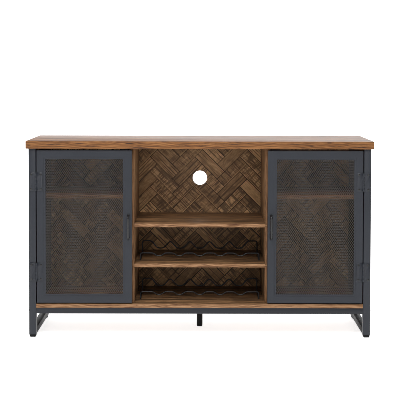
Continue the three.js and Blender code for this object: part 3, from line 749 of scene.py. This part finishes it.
SCREW_RADIUS = 4.7 * MM
SCREW_DOME = 1.8 * MM
SCREW_SPACING = 62 * MM
SCREW_FROM_AXIS = 20 * MM
CROSS_SIZE = 4 * MM
CROSS_WIDTH = 1 * MM
CROSS_DEPTH = 0.12 * MM
KNUCKLE_RADIUS = 3.5 * MM
LEAF_THICKNESS = 1.6 * MM


def cross_mark(centre):
    """A dark cross on top of a screw's dome, seen from the front: painted shade for its cross recess."""
    a, b = CROSS_SIZE / 2, CROSS_WIDTH / 2
    outline = [(-b, a), (-b, b), (-a, b), (-a, -b), (-b, -b), (-b, -a)]
    outline += [(b, -a), (b, -b), (a, -b), (a, b), (b, b), (b, a)]
    points = []
    for y in (-CROSS_DEPTH, CROSS_DEPTH):
        points += [centre + Vector((x, y, z)) for x, z in outline]
    n = len(outline)
    faces = [tuple(range(n)), tuple(n + k for k in reversed(range(n)))]
    for k in range(n):
        nxt = (k + 1) % n
        faces.append((k, k + n, nxt + n, nxt))
    return points, faces


def screw_places(side, owner, way):
    """The points on a side's two leaves of one owner that the screws stand on."""
    places = []
    for level in ("upper", "lower"):
        low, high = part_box(f"hinge_{level}_{side}_{owner}_leaf")
        inner = low.x if way > 0 else high.x
        x = inner + way * (KNUCKLE_RADIUS + SCREW_FROM_AXIS)
        middle = (low.z + high.z) / 2
        for z in (middle - SCREW_SPACING / 2, middle + SCREW_SPACING / 2):
            places.append(Vector((x, high.y - LEAF_THICKNESS, z)))
    return places


def hinge_screws():
    """Domed black screws with painted-shade crosses for their recesses, which go with the leaf that they
    hold.
    """
    profile = [(SCREW_RADIUS, -0.3 * MM), (SCREW_RADIUS, 0.4 * MM), (SCREW_RADIUS * 0.94, 0.9 * MM)]
    profile += [(SCREW_RADIUS * 0.78, 1.35 * MM), (SCREW_RADIUS * 0.52, 1.65 * MM)]
    profile.append((SCREW_RADIUS * 0.24, SCREW_DOME))
    for side, sign in (("left", -1), ("right", 1)):
        for owner, away, body in (("post", 1, "cabinet"), ("door", -1, f"door_{side}")):
            places = screw_places(side, owner, sign * away)
            heads = merge(turned(place, (0, -1, 0), profile, 24) for place in places)
            marks = merge(cross_mark(place - Vector((0, SCREW_DOME, 0))) for place in places)
            name = f"{side}_{owner}"
            piece = new_piece(f"screw_heads_{name}", *heads, "black_steel", body, look=SCREW_BLACK)
            sharpen(piece, 50)
            # The crosses paint the shade in the screws' recesses.
            new_piece(f"screw_marks_{name}", *marks, "frame_steel", body, smooth=False, look=RECESS_SHADE)


def pan_head(centre, axis, radius, height):
    """A low rounded screw head."""
    profile = [(radius, 0), (radius, height * 0.35), (radius * 0.9, height * 0.72)]
    profile += [(radius * 0.62, height * 0.94), (radius * 0.2, height)]
    return turned(centre, axis, profile, 16)


def back_screws():
    """Small screws along the edges of the back boards."""
    inset, across, up = 9 * MM, 3, 4
    parts = []
    for name in ("left", "centre", "right"):
        low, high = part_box(f"back_panel_{name}")
        xs = [low.x + inset + (high.x - low.x - 2 * inset) * k / across for k in range(across + 1)]
        zs = [low.z + inset + (high.z - low.z - 2 * inset) * k / up for k in range(up + 1)]
        places = [(x, z) for x in xs for z in (zs[0], zs[-1])]
        places += [(x, z) for x in (xs[0], xs[-1]) for z in zs[1:-1]]
        for x, z in places:
            centre = Vector((x, high.y - SUNK, z))
            parts.append(pan_head(centre, (0, 1, 0), 3.4 * MM, 1.8 * MM))
    piece = new_piece("back_screws", *merge(parts), "zinc_plate", "cabinet")
    sharpen(piece, 50)


def frame_bolts():
    """Round-headed bolts through the outer sides of the posts, level with the front rail."""
    parts = []
    low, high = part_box("front_rail")
    z = (low.z + high.z) / 2
    for side, sign in (("left", -1), ("right", 1)):
        for end in ("front", "rear"):
            post_low, post_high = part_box(f"post_{end}_{side}")
            x = post_low.x if sign < 0 else post_high.x
            centre = Vector((x - sign * SUNK, (post_low.y + post_high.y) / 2, z))
            parts.append(pan_head(centre, (sign, 0, 0), 6.5 * MM, 3.2 * MM))
    piece = new_piece("frame_bolts", *merge(parts), "black_steel", "cabinet")
    sharpen(piece, 50)


def shelf_pins(side):
    """Round pins that hold a side shelf from below."""
    low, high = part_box(f"side_shelf_{side}")
    radius, reach, inset, rounding, sunk = 2.5 * MM, 9 * MM, 45 * MM, 0.6 * MM, 0.2 * MM
    profile = [(radius, 0), (radius, reach - rounding), (radius - rounding, reach)]
    parts = []
    for x, way in ((low.x, 1), (high.x, -1)):
        for y in (low.y + inset, high.y - inset):
            start = Vector((x - way * sunk, y, low.z - radius))
            parts.append(turned(start, (way, 0, 0), profile, 16))
    piece = new_piece(f"shelf_pins_{side}", *merge(parts), "zinc_plate", "cabinet")
    sharpen(piece, 50)


# ---- stage, light and camera ----


FLOOR_GLOW = 0.74
FLOOR_COLOUR = (0.95, 0.95, 0.95, 1)
FLOOR_HALF_WIDTH = 14.0
FLOOR_FRONT = -9.0
WALL = 9.0
WALL_TOP = 12.0
WALL_BEND = 3.0

WORLD = 0.30

CAMERA_PLACE = Vector((0.0017, -4.6304, 1.1363))
CAMERA_TILT = -2.190
CAMERA_TURN = 0.027
CAMERA_ROLL = -0.116
LENS = 94.88
SHIFT_UP = -0.2224
PIXEL_FILTER_WIDTH = 0.75


def floor_material():
    """Matt and pale, with a glow of its own that thins the shadows."""
    g = Graph("studio")
    g.material.cycles.emission_sampling = "NONE"
    return g.finish(
        Base_Color=FLOOR_COLOUR,
        Roughness=0.9,
        Specular_IOR_Level=0.0,
        Emission_Color=(1, 1, 1, 1),
        Emission_Strength=FLOOR_GLOW,
    )


def build_stage():
    """A pale floor that curves up into a wall far behind."""
    steps = 12
    line = [(FLOOR_FRONT, 0.0), (WALL - WALL_BEND, 0.0)]
    for k in range(1, steps + 1):
        angle = math.pi / 2 * k / steps
        rise = WALL_BEND - WALL_BEND * math.cos(angle)
        line.append((WALL - WALL_BEND + WALL_BEND * math.sin(angle), rise))
    line.append((WALL, WALL_TOP))
    points = [(x, y, z) for y, z in line for x in (-FLOOR_HALF_WIDTH, FLOOR_HALF_WIDTH)]
    faces = [(2 * k, 2 * k + 1, 2 * k + 3, 2 * k + 2) for k in range(len(line) - 1)]
    mesh = bpy.data.meshes.new("studio")
    mesh.from_pydata(points, [], faces)
    for polygon in mesh.polygons:
        polygon.use_smooth = True
    studio = bpy.data.objects.new("studio", mesh)
    mesh.materials.append(floor_material())
    bpy.context.scene.collection.objects.link(studio)


def area_light(name, place, target, size, power):
    """A white soft box that faces a target."""
    light = bpy.data.lights.new(name, "AREA")
    light.shape = "RECTANGLE"
    light.size, light.size_y = size
    light.energy = power
    lamp = bpy.data.objects.new(name, light)
    lamp.location = place
    lamp.rotation_euler = (Vector(target) - Vector(place)).to_track_quat("-Z", "Y").to_euler()
    bpy.context.scene.collection.objects.link(lamp)


def build_light():
    """Soft light from above and in front, a white world and a lit backdrop."""
    world = bpy.data.worlds.new("world")
    bpy.context.scene.world = world
    world.use_nodes = True
    background = world.node_tree.nodes["Background"]
    background.inputs["Color"].default_value = (1, 1, 1, 1)
    background.inputs["Strength"].default_value = WORLD
    world.cycles.sampling_method = "NONE"
    area_light("key", (-0.5, -2.7, 3.3), (0, 0, 0.4), (2.6, 1.6), 105)
    area_light("front", (0.0, -5.6, 3.1), (0, 0, 0.5), (8.0, 4.0), 95)
    area_light("backdrop", (0, 5.0, 6.5), (0, 9.0, 1.0), (9.0, 1.5), 120)


def build_camera():
    data = bpy.data.cameras.new("camera")
    data.sensor_width = 36
    data.lens = LENS
    data.shift_y = SHIFT_UP
    camera = bpy.data.objects.new("camera", data)
    camera.location = CAMERA_PLACE
    camera.rotation_mode = "XYZ"
    tilt, turn = math.radians(90 + CAMERA_TILT), math.radians(CAMERA_TURN)
    camera.rotation_euler = (tilt, math.radians(CAMERA_ROLL), turn)
    bpy.context.scene.collection.objects.link(camera)
    bpy.context.scene.camera = camera
    scene = bpy.context.scene
    scene.view_settings.view_transform = "Standard"
    # The fine door mesh is lost with a wider pixel filter or with filtered denoiser guides.
    scene.cycles.denoising_prefilter = "NONE"
    scene.cycles.filter_width = PIXEL_FILTER_WIDTH


build_stage()
build_light()
build_camera()
dress_nodes()
for side in SIDES:
    door_frame(side)
    expanded_mesh(side)
    door_handle(side)
    shelf_pins(side)
for level in ("upper", "lower"):
    rack(level)
hinge_screws()
back_screws()
frame_bolts()
